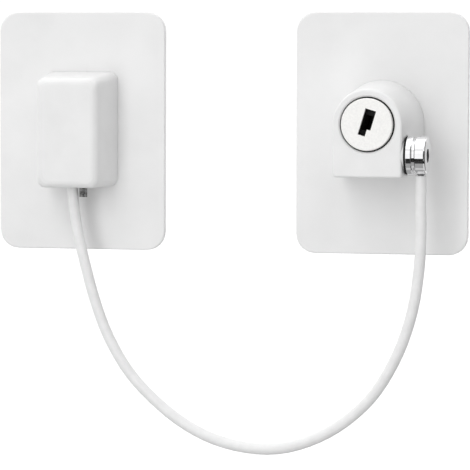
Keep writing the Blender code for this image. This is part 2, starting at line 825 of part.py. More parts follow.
def rotor(parent):
    core = rod(
        "cylinder_rotor", ROTOR_RADIUS, at(0, ROTOR_BACK, CYLINDER_RISE), at(0, ROTOR_FRONT, CYLINDER_RISE)
    )
    half = TAIL_SIDE / 2
    tail = prism(
        "rotor_tail", [leaned(*corner) for corner in rectangle(-half, half, -half, half)],
        TAIL_BACK, ROTOR_BACK + OVERRUN,
    )
    join(core, tail)
    cut(core, keyway_cutter("rotor_keyway"))
    half_slot = WAFER_THICKNESS / 2 + RUNNING_GAP
    half_width = WAFER_HALF_WIDTH + RUNNING_GAP
    for number in range(WAFER_COUNT):
        out, way = wafer_place(number)
        slot = rectangle(-half_width, half_width, -ROTOR_RADIUS - OVERRUN, ROTOR_RADIUS + OVERRUN)
        pocket = rectangle(
            half_width - OVERRUN, WAFER_HALF_WIDTH + LUG_REACH + RUNNING_GAP,
            -POCKET_HALF_HEIGHT, POCKET_HALF_HEIGHT,
        )
        span = (out - half_slot, out + half_slot)
        cut(
            core,
            prism(f"wafer_slot_{number + 1}", [leaned(v, u) for v, u in slot], *span),
            prism(f"lug_pocket_{number + 1}", [leaned(way * v, way * u) for v, u in pocket], *span),
        )
    hole = rod(
        "cam_screw_hole", CAM_SCREW_SHANK + RUNNING_GAP, at(0, TAIL_BACK - OVERRUN, CYLINDER_RISE),
        at(0, DRUM_BACK + CAM_SCREW_LENGTH + RUNNING_GAP, CYLINDER_RISE), SMALL_SIDES,
    )
    cut(core, hole)
    dress(core, "dark_zinc", parent)
    disc = turned(
        "cylinder_face_disc", at(0, 0, CYLINDER_RISE), (0, -1, 0),
        [
            (0, DISC_FRONT), (FACE_RADIUS - RIM_BREAK, DISC_FRONT), (FACE_RADIUS, DISC_FRONT - RIM_BREAK),
            (FACE_RADIUS, DISC_BACK), (0, DISC_BACK),
        ],
    )
    cut(disc, keyway_cutter("disc_keyway"))
    dress(disc, "satin_nickel", parent)


def wafer(number, parent):
    out, way = wafer_place(number)
    low = out - WAFER_THICKNESS / 2
    high = out + WAFER_THICKNESS / 2
    plate = prism(
        f"wafer_{number + 1}", [leaned(v, u) for v, u in strip_of_disc(WAFER_HALF_WIDTH, WAFER_RADIUS)],
        low, high,
    )
    lug = rectangle(
        WAFER_HALF_WIDTH - OVERRUN / 2, WAFER_HALF_WIDTH + LUG_REACH, LUG_LOW, LUG_LOW + LUG_HEIGHT
    )
    join(plate, prism(f"wafer_lug_{number + 1}", [leaned(way * v, way * u) for v, u in lug], low, high))
    shift = WAFER_CUTS[number % len(WAFER_CUTS)]
    window = rectangle(
        -KEYWAY_LEFT - RUNNING_GAP, KEYWAY_RIGHT + RUNNING_GAP,
        shift - WAFER_WINDOW_HALF, shift + WAFER_WINDOW_HALF,
    )
    cut(
        plate,
        prism(
            f"wafer_window_{number + 1}", [leaned(v, u) for v, u in window],
            low - OVERRUN, high + OVERRUN,
        ),
    )
    dress(plate, "dark_zinc", parent)


def wafer_spring(number, parent):
    """A coil in the rotor's pocket that pushes the wafer's lug."""
    out, way = wafer_place(number)
    across = WAFER_HALF_WIDTH + RUNNING_GAP + LUG_REACH / 2
    start = -POCKET_HALF_HEIGHT + SPRING_WIRE / 2 + RUNNING_GAP
    length = LUG_LOW - SPRING_WIRE / 2 - RUNNING_GAP - start
    points = []
    for i in range(SPRING_TURNS * SPRING_SIDES + 1):
        angle = math.tau * i / SPRING_SIDES
        along = start + length * i / (SPRING_TURNS * SPRING_SIDES)
        x, z = leaned(way * (across + SPRING_RADIUS * math.cos(angle)), way * along)
        points.append(at(x, out + SPRING_RADIUS * math.sin(angle), z))
    dress(tube(f"wafer_spring_{number + 1}", points, SPRING_WIRE, 1), "steel", parent)


def helical_groove(name):
    """The cutter for the drum's cam groove: it climbs by the bolt's travel in one turn of the key."""
    floor = DRUM_RADIUS - GROOVE_DEPTH
    slope = math.atan2(BOLT_TRAVEL, KEY_TURN * floor)
    half_width = (FOLLOWER_RADIUS + RUNNING_GAP) / math.cos(slope)
    margin = (FOLLOWER_RADIUS + LATCH_GAP) / (floor * KEY_TURN)
    bm = bmesh.new()
    rings = []
    for step in range(GROOVE_STEPS + 1):
        share = -margin + (1 + 2 * margin) * step / GROOVE_STEPS
        angle = KEY_TURN * share
        out = FOLLOWER_REST + BOLT_TRAVEL * share
        ring = []
        for radius, side in (
            (floor, -1), (DRUM_RADIUS + OVERRUN, -1), (DRUM_RADIUS + OVERRUN, 1), (floor, 1),
        ):
            x = radius * math.sin(angle)
            z = CYLINDER_RISE - radius * math.cos(angle)
            ring.append(bm.verts.new(at(x, out + side * half_width, z)))
        rings.append(ring)
    close_loft(bm, rings)
    return object_from(name, bm)


def cam_drum(parent):
    drum = rod(
        "cam_drum", DRUM_RADIUS, at(0, DRUM_BACK, CYLINDER_RISE), at(0, DRUM_FRONT, CYLINDER_RISE)
    )
    half = TAIL_SIDE / 2 + TAIL_GAP
    hole = prism(
        "tail_hole", [leaned(*corner) for corner in rectangle(-half, half, -half, half)],
        DRUM_BACK - OVERRUN, DRUM_FRONT + OVERRUN,
    )
    cut(drum, hole, helical_groove("cam_groove"))
    dress(drum, "zinc", parent)
    head_front = DRUM_BACK - SEAT_GAP
    head_back = head_front - CAM_SCREW_HEAD_HEIGHT
    screw = turned(
        "cam_screw", at(0, 0, CYLINDER_RISE), (0, -1, 0),
        [
            (0, DRUM_BACK + CAM_SCREW_LENGTH), (CAM_SCREW_SHANK, DRUM_BACK + CAM_SCREW_LENGTH),
            (CAM_SCREW_SHANK, head_front), (CAM_SCREW_HEAD, head_front), (CAM_SCREW_HEAD, head_back),
            (0, head_back),
        ],
        SMALL_SIDES,
    )
    slot = block(
        "cam_screw_slot", (-CAM_SCREW_HEAD - OVERRUN, CAM_SCREW_HEAD + OVERRUN),
        (head_back - OVERRUN, head_back + SCREW_SLOT),
        (CYLINDER_RISE - SCREW_SLOT / 2, CYLINDER_RISE + SCREW_SLOT / 2),
    )
    cut(screw, slot)
    dress(screw, "steel", parent)


def latch_bolt(parent):
    """Drawn back here, clear of the pin. The stud on top follows the drum's groove."""
    carriage = block(
        "latch_bolt", (-BOLT_LEFT, BOLT_RIGHT), (BOLT_CARRIAGE_BACK, BOLT_CARRIAGE_FRONT),
        (BOLT_BOTTOM, BOLT_TOP),
    )
    height = (PIN_HEIGHT - BOLT_HALF_HEIGHT, PIN_HEIGHT + BOLT_HALF_HEIGHT)
    arm = block(
        "bolt_arm", (BOLT_RIGHT - BOLT_ARM_WIDTH, BOLT_RIGHT), (BOLT_CARRIAGE_FRONT - OVERRUN, ARM_FRONT),
        height,
    )
    nose = block(
        "bolt_nose", (NOSE_X - BOLT_NOSE_WIDTH / 2, NOSE_X + BOLT_NOSE_WIDTH / 2),
        (ARM_FRONT - OVERRUN, NOSE_REST), height,
    )
    stud_top = CYLINDER_RISE - DRUM_RADIUS + GROOVE_DEPTH - LATCH_GAP
    stud = rod(
        "bolt_stud", FOLLOWER_RADIUS, at(0, FOLLOWER_REST, BOLT_TOP - OVERRUN),
        at(0, FOLLOWER_REST, stud_top), SMALL_SIDES,
    )
    join(carriage, arm, nose, stud)
    dress(carriage, "steel", parent)


# Plug and swivel head


def plug_pin(parent):
    pin = turned(
        "plug_pin", at(0, PIN_STANDOFF, PIN_HEIGHT), (1, 0, 0),
        [
            (0, SPIGOT_END), (SPIGOT_RADIUS, SPIGOT_END), (SPIGOT_RADIUS, NECK_END),
            (NECK_RADIUS, NECK_END), (NECK_RADIUS, COLLAR_END), (COLLAR_RADIUS - RIM_BREAK, COLLAR_END),
            (COLLAR_RADIUS, COLLAR_END - RIM_BREAK), (COLLAR_RADIUS, COLLAR_START + RIM_BREAK),
            (COLLAR_RADIUS - RIM_BREAK, COLLAR_START), (PIN_RADIUS, COLLAR_START),
            (PIN_RADIUS, PIN_GROOVE_END), (PIN_GROOVE_RADIUS, PIN_GROOVE_END),
            (PIN_GROOVE_RADIUS, PIN_GROOVE_START), (PIN_RADIUS, PIN_GROOVE_START),
            (PIN_RADIUS, PIN_TIP + PIN_TIP_CHAMFER), (PIN_RADIUS - PIN_TIP_CHAMFER, PIN_TIP), (0, PIN_TIP),
        ],
    )
    hole = rod(
        "pivot_screw_hole", PIVOT_SCREW_SHANK + RUNNING_GAP,
        at(SPIGOT_END - PIVOT_SCREW_LENGTH - RUNNING_GAP, PIN_STANDOFF, PIN_HEIGHT),
        at(SPIGOT_END + OVERRUN, PIN_STANDOFF, PIN_HEIGHT), SMALL_SIDES,
    )
    cut(pin, hole)
    dress(pin, "chrome", parent)
    head_start = SPIGOT_END + SEAT_GAP
    head_end = head_start + PIVOT_SCREW_HEAD_HEIGHT
    shank_end = SPIGOT_END - PIVOT_SCREW_LENGTH
    screw = turned(
        "pivot_screw", at(0, PIN_STANDOFF, PIN_HEIGHT), (1, 0, 0),
        [
            (0, head_end), (PIVOT_SCREW_HEAD - RIM_BREAK, head_end),
            (PIVOT_SCREW_HEAD, head_end - RIM_BREAK), (PIVOT_SCREW_HEAD, head_start),
            (PIVOT_SCREW_SHANK, head_start), (PIVOT_SCREW_SHANK, shank_end), (0, shank_end),
        ],
        SMALL_SIDES,
    )
    socket = rod(
        "pivot_screw_socket", PIVOT_SCREW_SOCKET, at(head_start, PIN_STANDOFF, PIN_HEIGHT),
        at(head_end + OVERRUN, PIN_STANDOFF, PIN_HEIGHT), HEXAGON,
    )
    cut(screw, socket)
    dress(screw, "dark_zinc", parent)


def plug_washer(parent):
    """A rubber washer between the lock's side and the plug's collar."""
    outer = COLLAR_RADIUS - WASHER_MARGIN
    inner = PIN_BORE_RADIUS
    washer = turned(
        "plug_washer", at(0, PIN_STANDOFF, PIN_HEIGHT), (1, 0, 0),
        [
            (outer, WASHER_START + WASHER_THICKNESS), (outer, WASHER_START),
            (inner, WASHER_START), (inner, WASHER_START + WASHER_THICKNESS),
        ],
        closed=True,
    )
    dress(washer, "black_rubber", parent)


def swivel_head(parent):
    cut_in = HEAD_END_ROUND * (1 - math.cos(math.pi / 4))
    head = turned(
        "swivel_head", at(0, PIN_STANDOFF, PIN_HEIGHT), (1, 0, 0),
        [
            (COLLAR_RADIUS - HEAD_END_ROUND, HEAD_END),
            (COLLAR_RADIUS - cut_in, HEAD_END - cut_in),
            (COLLAR_RADIUS, HEAD_END - HEAD_END_ROUND), (COLLAR_RADIUS, HEAD_START + RIM_BREAK),
            (COLLAR_RADIUS - RIM_BREAK, HEAD_START), (SPIGOT_BORE, HEAD_START), (SPIGOT_BORE, RECESS_START),
            (HEAD_RECESS_RADIUS, RECESS_START), (HEAD_RECESS_RADIUS, HEAD_END),
        ],
        closed=True,
    )
    socket_top = PIN_HEIGHT - HEAD_RECESS_RADIUS - SOCKET_FLOOR
    socket = rod(
        "rope_socket", ROPE_END_DIAMETER / 2 + ROPE_HOLE_GAP,
        at(CABLE_X, PIN_STANDOFF, CABLE_TOP - OVERRUN), at(CABLE_X, PIN_STANDOFF, socket_top),
        SMALL_SIDES,
    )
    cut(head, socket)
    dress(head, "chrome", parent)
    rope = rod(
        "rope_end_in_swivel", ROPE_END_DIAMETER / 2, at(CABLE_X, PIN_STANDOFF, CABLE_TOP + SEAT_GAP),
        at(CABLE_X, PIN_STANDOFF, socket_top - ROPE_HOLE_GAP), SMALL_SIDES,
    )
    dress(rope, "steel", parent)


# Cable and anchor half


def cable(parent):
    """The sheathed rope, straight out of the anchor and straight into the swivel head."""
    straight = 2 * CABLE_DIAMETER
    controls = [
        at(ANCHOR_X, CABLE_STANDOFF, CABLE_LOW),
        at(ANCHOR_X, CABLE_STANDOFF, CABLE_LOW - straight / 2),
        *[at(*place) for place in CABLE_ROUTE],
        at(CABLE_X, PIN_STANDOFF, CABLE_TOP - straight / 2),
        at(CABLE_X, PIN_STANDOFF, CABLE_TOP),
    ]
    dress(tube("cable", smooth_route(controls, CABLE_STEP), CABLE_DIAMETER, 3), "white_sheath", parent)


def rope_loop(parent):
    """The bared rope: up through the sleeve, round the post and back down to its cut tail."""
    left = ANCHOR_X
    right = ANCHOR_X + TAIL_OFFSET
    shoulder = SLEEVE_HIGH + OVERRUN / 2
    start = CABLE_LOW + CABLE_END_GAP
    controls = [at(left, CABLE_STANDOFF, height) for height in (start, SLEEVE_LOW, shoulder)]
    for x, z in arc(POST_PLACE, LOOP_RADIUS, math.pi + LOOP_WRAP, -LOOP_WRAP, LOOP_STEPS):
        controls.append(at(x, CABLE_STANDOFF, z))
    tail_end = -ANCHOR_DROP - TAIL_SHOWING
    for height in (shoulder, SLEEVE_LOW, tail_end + ROPE_DIAMETER, tail_end):
        controls.append(at(right, CABLE_STANDOFF, height))
    dress(tube("rope_loop", smooth_route(controls, ROPE_STEP), ROPE_DIAMETER, 2), "steel", parent)


def crimp_sleeve(parent):
    """An oval ferrule pressed round both legs of the loop."""
    width = TAIL_OFFSET + ROPE_DIAMETER + 2 * SLEEVE_MARGIN
    middle = ANCHOR_X + TAIL_OFFSET / 2
    bm = bmesh.new()
    rings = []
    outline = rounded_rectangle(
        (middle, CABLE_STANDOFF), width, 2 * SLEEVE_HALF_DEPTH, SLEEVE_CORNER
    )(0.0, 0.0)
    for height in (SLEEVE_LOW, SLEEVE_HIGH):
        rings.append([bm.verts.new(at(x, out, height)) for x, out in outline])
    close_loft(bm, rings)
    sleeve = object_from("crimp_sleeve", bm)
    for number, x in enumerate((ANCHOR_X, ANCHOR_X + TAIL_OFFSET), 1):
        bore = rod(
            f"sleeve_bore_{number}", ROPE_DIAMETER / 2 + ROPE_HOLE_GAP,
            at(x, CABLE_STANDOFF, SLEEVE_LOW - OVERRUN), at(x, CABLE_STANDOFF, SLEEVE_HIGH + OVERRUN),
            SMALL_SIDES,
        )
        cut(sleeve, bore)
    dress(sleeve, "zinc", parent)


def anchor_post(parent):
    """The post that the rope's loop goes round, with a head that keeps the loop on."""
    x, z = POST_PLACE
    head_back = POST_FRONT - POST_HEAD_HEIGHT
    post = turned(
        "anchor_post", at(x, 0, z), (0, -1, 0),
        [
            (0, POST_FRONT), (POST_HEAD_RADIUS, POST_FRONT), (POST_HEAD_RADIUS, head_back),
            (POST_RADIUS, head_back), (POST_RADIUS, HOUSING_BACK), (0, HOUSING_BACK),
        ],
        SMALL_SIDES,
    )
    hole = rod(
        "post_screw_hole", SCREW_SHANK + SCREW_HOLE_GAP, at(x, HOUSING_BACK - OVERRUN, z),
        at(x, SCREW_TIP + OVERRUN, z), SMALL_SIDES,
    )
    cut(post, hole)
    dress(post, "steel", parent)
    countersunk_screw("anchor_post_screw", POST_PLACE, parent)


def anchor_housing(parent):
    """A hollow box over the loop, open at the back, with the rope's slot in its underside."""
    width = ANCHOR_FACE_WIDTH + 2 * ANCHOR_DRAFT
    height = ANCHOR_FACE_HEIGHT + ANCHOR_DRAFT
    centre = (ANCHOR_X, height / 2 - ANCHOR_DROP)
    housing = moulding(
        "anchor_housing", rounded_rectangle(centre, width, height, ANCHOR_CORNER, True),
        HOUSING_BACK, ANCHOR_FRONT, ANCHOR_DRAFT, ANCHOR_EDGE,
    )
    inner_front = ANCHOR_FRONT - ANCHOR_WALL
    inner_draft = ANCHOR_DRAFT * (inner_front - HOUSING_BACK) / (ANCHOR_FRONT - HOUSING_BACK)
    cavity = moulding(
        "anchor_cavity",
        rounded_rectangle(
            centre, width - 2 * ANCHOR_WALL, height - 2 * ANCHOR_WALL, ANCHOR_CORNER, True
        ),
        HOUSING_BACK - OVERRUN, inner_front, inner_draft,
    )
    cut(housing, cavity)
    holes = [
        boss_and_hole(housing, number, place, inner_front + OVERRUN)
        for number, place in enumerate(ANCHOR_SCREWS, 1)
    ]
    cut(housing, *holes)
    slot_bottom = -ANCHOR_DROP - OVERRUN
    for name, x, radius in (
        ("cable_hole", ANCHOR_X, CABLE_DIAMETER / 2),
        ("tail_hole", ANCHOR_X + TAIL_OFFSET, ROPE_DIAMETER / 2),
    ):
        passage = rod(
            name, radius + CABLE_HOLE_GAP,
            at(x, CABLE_STANDOFF, slot_bottom), at(x, CABLE_STANDOFF, CABLE_LOW), SMALL_SIDES,
        )
        cut(housing, passage)
    dress(housing, "white_enamel", parent)


# Assembly

clear_scene()
parts = new_group("cable_lock")
cutters = new_group("cutters")

plate_and_pad("lock", (0, 0), LOCK_SCREWS)
lock_housing()
for index, screw_place in enumerate(LOCK_SCREWS, 1):
    countersunk_screw(f"lock_housing_screw_{index}", screw_place)
cylinder_shell()

rotor_axis = axis_empty("rotor_axis", at(0, LOCK_FRONT, CYLINDER_RISE))
rotor(rotor_axis)
cam_drum(rotor_axis)
for index in range(WAFER_COUNT):
    wafer_centre = at(0, wafer_place(index)[0], CYLINDER_RISE)
    wafer_axis = axis_empty(f"wafer_axis_{index + 1}", wafer_centre, rotor_axis)
    wafer(index, wafer_axis)
    wafer_spring(index, rotor_axis)

bolt_axis = axis_empty("bolt_axis", at(NOSE_X, NOSE_REST, PIN_HEIGHT))
latch_bolt(bolt_axis)

plug_axis = axis_empty("plug_axis", at(COLLAR_START, PIN_STANDOFF, PIN_HEIGHT))
plug_pin(plug_axis)
plug_washer(plug_axis)
swivel_axis = axis_empty("swivel_axis", at(CABLE_X, PIN_STANDOFF, PIN_HEIGHT), plug_axis)
swivel_head(swivel_axis)
cable(swivel_axis)
rope_loop(swivel_axis)
crimp_sleeve(swivel_axis)
anchor_post(swivel_axis)
anchor_housing(swivel_axis)
plate_and_pad("anchor", (ANCHOR_X, 0), (*ANCHOR_SCREWS, POST_PLACE), swivel_axis)
for index, screw_place in enumerate(ANCHOR_SCREWS, 1):
    countersunk_screw(f"anchor_housing_screw_{index}", screw_place, swivel_axis)
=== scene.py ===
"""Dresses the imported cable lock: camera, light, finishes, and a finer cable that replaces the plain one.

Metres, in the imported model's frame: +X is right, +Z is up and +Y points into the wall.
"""

import math

import bpy
from mathutils import Matrix, Vector


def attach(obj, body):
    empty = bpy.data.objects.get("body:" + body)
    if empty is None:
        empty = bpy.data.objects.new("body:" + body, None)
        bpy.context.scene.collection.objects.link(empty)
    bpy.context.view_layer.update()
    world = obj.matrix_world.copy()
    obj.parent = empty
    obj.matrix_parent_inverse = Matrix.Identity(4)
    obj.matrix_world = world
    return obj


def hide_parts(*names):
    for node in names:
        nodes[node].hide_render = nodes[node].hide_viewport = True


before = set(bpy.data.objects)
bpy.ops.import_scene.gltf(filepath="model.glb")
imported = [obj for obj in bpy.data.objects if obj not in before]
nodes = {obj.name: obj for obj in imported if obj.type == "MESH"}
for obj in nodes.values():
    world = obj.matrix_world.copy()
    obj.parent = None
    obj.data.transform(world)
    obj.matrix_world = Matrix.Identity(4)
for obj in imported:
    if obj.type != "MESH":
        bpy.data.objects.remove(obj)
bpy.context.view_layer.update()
scene = bpy.context.scene
scene.view_settings.view_transform = "Standard"
scene.view_settings.look = "None"

# Camera

CAMERA_PLACE = Vector((0.20325, -1.1054, 0.0272))
CAMERA_YAW = math.radians(13.17)
CAMERA_PITCH = math.radians(3.29)
CAMERA_ROLL = math.radians(0.18)
FOCAL_PIXELS = 3080.75
FRAME_PIXELS = 470
SENSOR_WIDTH = 36.0


def add_camera():
    data = bpy.data.cameras.new("camera")
    data.sensor_width = SENSOR_WIDTH
    data.lens = FOCAL_PIXELS / FRAME_PIXELS * SENSOR_WIDTH
    data.clip_start = 0.01
    data.clip_end = 50.0
    camera = bpy.data.objects.new("camera", data)
    scene.collection.objects.link(camera)
    forward = Vector((
        -math.sin(CAMERA_YAW) * math.cos(CAMERA_PITCH),
        math.cos(CAMERA_YAW) * math.cos(CAMERA_PITCH),
        -math.sin(CAMERA_PITCH),
    ))
    right = Vector((math.cos(CAMERA_YAW), math.sin(CAMERA_YAW), 0))
    up = right.cross(forward)
    turn = Matrix((right, up, -forward)).transposed() @ Matrix.Rotation(CAMERA_ROLL, 3, "Z")
    camera.matrix_world = Matrix.Translation(CAMERA_PLACE) @ turn.to_4x4()
    scene.camera = camera


# Cable

CABLE_DIAMETER = 0.004
# Across, out from the wall, and up, from the anchor housing to the swivel head
CABLE_ROUTE = (
    (-0.1132, 0.0153, -0.0170),
    (-0.1132, 0.0153, -0.0210),
    (-0.1129, 0.0154, -0.0255),
    (-0.1119, 0.0155, -0.0330),
    (-0.1096, 0.0157, -0.0438),
    (-0.1044, 0.0162, -0.0622),
    (-0.0980, 0.0167, -0.0775),
    (-0.0880, 0.0175, -0.0917),
    (-0.0715, 0.0189, -0.1053),
    (-0.0542, 0.0204, -0.1127),
    (-0.0345, 0.0220, -0.1141),
    (-0.0158, 0.0236, -0.1077),
    (-0.0004, 0.0249, -0.0955),
    (0.0096, 0.0258, -0.0800),
    (0.0155, 0.0263, -0.0635),
    (0.0181, 0.0265, -0.0470),
    (0.0186, 0.0265, -0.0340),
    (0.0184, 0.0265, -0.0240),
    (0.0185, 0.0265, -0.01843),
    (0.0185, 0.0265, -0.01443),
)
CABLE_STEP = 0.004
CABLE_ROUNDNESS = 6
ROUTE_DETAIL = 20


def at(across, out, up):
    """A point from its distance across, out from the wall, and up."""
    return Vector((across, -out, up))


def smooth_route(controls, step):
    """Even points along a smooth curve through the control points, and its length."""
    padded = [2 * controls[0] - controls[1], *controls, 2 * controls[-1] - controls[-2]]
    dense = []
    for a, b, c, d in zip(padded, padded[1:], padded[2:], padded[3:]):
        for i in range(ROUTE_DETAIL):
            t = i / ROUTE_DETAIL
            dense.append(
                b
                + (c - a) * (t / 2)
                + (2 * a - 5 * b + 4 * c - d) * (t * t / 2)
                + (3 * b - a - 3 * c + d) * (t**3 / 2)
            )
    dense.append(controls[-1])
    lengths = [0.0]
    for first, second in zip(dense, dense[1:]):
        lengths.append(lengths[-1] + (second - first).length)
    count = max(2, round(lengths[-1] / step))
    points = []
    place = 0
    for i in range(count + 1):
        wanted = lengths[-1] * i / count
        while place < len(dense) - 2 and lengths[place + 1] < wanted:
            place += 1
        share = (wanted - lengths[place]) / (lengths[place + 1] - lengths[place])
        points.append(dense[place].lerp(dense[place + 1], share))
    return points, lengths[-1]


def add_cable():
    points, length = smooth_route([at(*place) for place in CABLE_ROUTE], CABLE_STEP)
    curve = bpy.data.curves.new("cable_sheath", "CURVE")
    curve.dimensions = "3D"
    curve.bevel_depth = CABLE_DIAMETER / 2
    curve.bevel_resolution = CABLE_ROUNDNESS
    curve.use_fill_caps = True
    spline = curve.splines.new("POLY")
    spline.points.add(len(points) - 1)
    for spline_point, point in zip(spline.points, points):
        spline_point.co = (*point, 1.0)
    spline.use_smooth = True
    cable = bpy.data.objects.new("cable_sheath", curve)
    scene.collection.objects.link(cable)
    cable.data.materials.append(sheath)
    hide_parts("cable")
    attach(cable, "free_end")


# Finishes

CLOUD_DETAIL = 4.0
GRAIN_DETAIL = 2.0
RAMP_START = 0.3
RAMP_END = 0.7


def new_material(name):
    material = bpy.data.materials.new(name)
    material.use_nodes = True
    tree = material.node_tree
    return material, tree, tree.nodes["Principled BSDF"]


def add_noise(tree, scale, detail):
    """Noise fixed to the object, with features 1/scale metres across."""
    place = tree.nodes.new("ShaderNodeTexCoord")
    noise = tree.nodes.new("ShaderNodeTexNoise")
    noise.inputs["Scale"].default_value = scale
    noise.inputs["Detail"].default_value = detail
    tree.links.new(place.outputs["Object"], noise.inputs["Vector"])
    return noise.outputs["Fac"]


def vary_colour(tree, shader, noise, dark, light):
    ramp = tree.nodes.new("ShaderNodeValToRGB")
    ramp.color_ramp.elements[0].position = RAMP_START
    ramp.color_ramp.elements[0].color = (*dark, 1)
    ramp.color_ramp.elements[1].position = RAMP_END
    ramp.color_ramp.elements[1].color = (*light, 1)
    tree.links.new(noise, ramp.inputs["Fac"])
    tree.links.new(ramp.outputs["Color"], shader.inputs["Base Color"])


def vary_roughness(tree, shader, noise, low, high):
    spread = tree.nodes.new("ShaderNodeMapRange")
    spread.inputs["To Min"].default_value = low
    spread.inputs["To Max"].default_value = high
    tree.links.new(noise, spread.inputs["Value"])
    tree.links.new(spread.outputs["Result"], shader.inputs["Roughness"])


def add_bump(tree, shader, noise, distance):
    bump = tree.nodes.new("ShaderNodeBump")
    bump.inputs["Distance"].default_value = distance
    tree.links.new(noise, bump.inputs["Height"])
    tree.links.new(bump.outputs["Normal"], shader.inputs["Normal"])


def grey(value):
    return (value, value, value)


def surface(name, dark, light, rough, metallic, cloud_scale, grain_scale, grain_depth):
    """A material with clouds of colour and roughness between two values each, and a fine bumpy grain."""
    material, tree, shader = new_material(name)
    shader.inputs["Metallic"].default_value = metallic
    cloud = add_noise(tree, cloud_scale, CLOUD_DETAIL)
    grain = add_noise(tree, grain_scale, GRAIN_DETAIL)
    vary_colour(tree, shader, cloud, dark, light)
    vary_roughness(tree, shader, cloud, *rough)
    add_bump(tree, shader, grain, grain_depth)
    return material


SATIN_DARK = (0.90, 0.895, 0.88)
SATIN_LIGHT = (0.98, 0.975, 0.955)
CHROME_DARK = (0.84, 0.84, 0.85)
CHROME_LIGHT = (0.92, 0.92, 0.93)
ZINC_DARK = (0.42, 0.42, 0.44)
STEEL_DARK = (0.40, 0.40, 0.42)
PLATED_LIGHT = (0.60, 0.60, 0.62)

# Name, dark and light colour, roughness, metallic, cloud and grain per metre, grain depth
plate_white = surface("plate_white", grey(0.80), grey(0.84), (0.30, 0.42), 0.0, 60, 900, 0.00002)
housing_white = surface("housing_white", grey(0.80), grey(0.84), (0.28, 0.40), 0.0, 90, 1400, 0.00002)
sheath = surface("sheath_white", grey(0.78), grey(0.83), (0.30, 0.42), 0.0, 300, 2500, 0.00001)
tape = surface("foam_tape", grey(0.74), grey(0.84), (0.8, 0.95), 0.0, 800, 3000, 0.0001)
satin = surface("satin_nickel", SATIN_DARK, SATIN_LIGHT, (0.34, 0.48), 0.35, 1500, 6000, 0.00001)
chrome = surface("chrome", CHROME_DARK, CHROME_LIGHT, (0.01, 0.04), 1.0, 400, 2500, 0.000001)
strands = surface("rope_strands", grey(0.02), grey(0.50), (0.25, 0.5), 1.0, 1300, 1500, 0.0002)
zinc = surface("zinc", ZINC_DARK, PLATED_LIGHT, (0.38, 0.6), 1.0, 500, 3000, 0.00004)
steel = surface("steel", STEEL_DARK, PLATED_LIGHT, (0.28, 0.45), 1.0, 600, 4000, 0.00003)
# Near black, far darker than any zinc finish. On the cylinder shell and rotor this is painted shade in the
# gap round the face disc and in the keyway. It also makes the pivot screw's head near black.
dark = surface("dark_zinc", grey(0.006), grey(0.02), (0.45, 0.65), 0.3, 900, 4000, 0.00003)
# Near-black washer, which draws the thin black line between the lock's side and the plug's collar
rubber = surface("black_rubber", grey(0.004), grey(0.010), (0.6, 0.8), 0.0, 600, 4000, 0.00003)
# Painted shade: the wafers are near black so that the keyway in front of them reads dark
wafer_keyway_shade = surface("dark_wafer", grey(0.001), grey(0.004), (0.5, 0.7), 0.0, 900, 4000, 0.00003)

FINISH_OF_NODE = {
    "lock_base_plate": plate_white,
    "anchor_base_plate": plate_white,
    "lock_housing": housing_white,
    "anchor_housing": housing_white,
    "lock_adhesive_pad": tape,
    "anchor_adhesive_pad": tape,
    "cylinder_face_disc": satin,
    # Painted shade: the near-black shell draws the dark gap round the face disc
    "cylinder_shell": dark,
    "cam_drum": zinc,
    "crimp_sleeve": zinc,
    # Painted shade in the keyway
    "cylinder_rotor": dark,
    "plug_washer": rubber,
    "pivot_screw": dark,
    # Painted shade in the keyway
    "wafer_1": wafer_keyway_shade,
    "wafer_2": wafer_keyway_shade,
    "wafer_3": wafer_keyway_shade,
    "wafer_4": wafer_keyway_shade,
    "rope_loop": strands,
    "rope_end_in_swivel": strands,
    "plug_pin": chrome,
    "swivel_head": chrome,
}


def dress_nodes():
    """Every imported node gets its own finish, or plain steel: screws, springs, bolt and the rest inside."""
    for name, node in nodes.items():
        node.data.materials.clear()
        node.data.materials.append(FINISH_OF_NODE.get(name, steel))


# Room

FLOOR_HEIGHT = -0.30
FLOOR_SIDE = 2.5
FLOOR_FRONT = 0.25
FLOOR_BACK = 4.5
FLOOR_WHITE = (0.93, 0.93, 0.93, 1)
FLOOR_ROUGHNESS = 0.9
FLOOR_GLOW = 0.1

# Strength of the world's light from each side
WORLD_BACK = 1.05
WORLD_FRONT = 0.62
WORLD_TOP = 0.37
WORLD_RIGHT = 0.80
WORLD_BAND = 0.45

# Shares that are left of the back light at the right and low down, and of all light below the table's edge
BACK_RIGHT_SHARE = 0.6
BACK_LOW_SHARE = 0.35
TABLE_SHARE = 0.6

# Start and end of each soft step between two strengths, by direction: -1 is left, front or down, and
# 1 is right, back or up
FRONT_TO_BACK = (-0.10, 0.10)
BACK_TO_RIGHT = (0.25, 0.55)
BACK_FROM_LOW = (-0.60, -0.30)
TOP_RISE = (0.15, 0.75)
RIGHT_RISE = (0.15, 0.75)
BAND_LEFT = (-0.41, -0.33)
BAND_RIGHT = (0.0, 0.08)
BAND_BOTTOM = (-0.46, -0.38)
TABLE_EDGE = (-0.72, -0.60)
STRIPS_TO_BACK = (-0.35, -0.20)

# Dark strips that cross the front: their heights, the softness of their edges and how dark they are
LOW_STRIP = (-0.64, -0.39)
LOW_STRIP_DARK = 1.0
HIGH_STRIP = (0.58, 0.70)
HIGH_STRIP_DARK = 0.8
STRIP_SOFTNESS = 0.02

# Dark card on the right, which reaches further down in reflections and is a little lighter outside them
CARD_SIDE = (0.50, 0.58)
CARD_HEIGHT = (0.45, 0.60)
CARD_LOW_HEIGHT = (-0.60, -0.45)
CARD_DARK = 0.95
CARD_SHARE_IN_LIGHT = 0.86

LIGHT_AIM = (-0.05, 0, -0.03)
KEY_PLACE = (-0.7, -0.8, 0.9)
KEY_SIZE = (0.9, 0.9)
KEY_POWER = 0.65
FRONT_PLACE = (-0.29, -1.38, -0.03)
FRONT_SIZE = (0.6, 3.0)
FRONT_POWER = 10.5


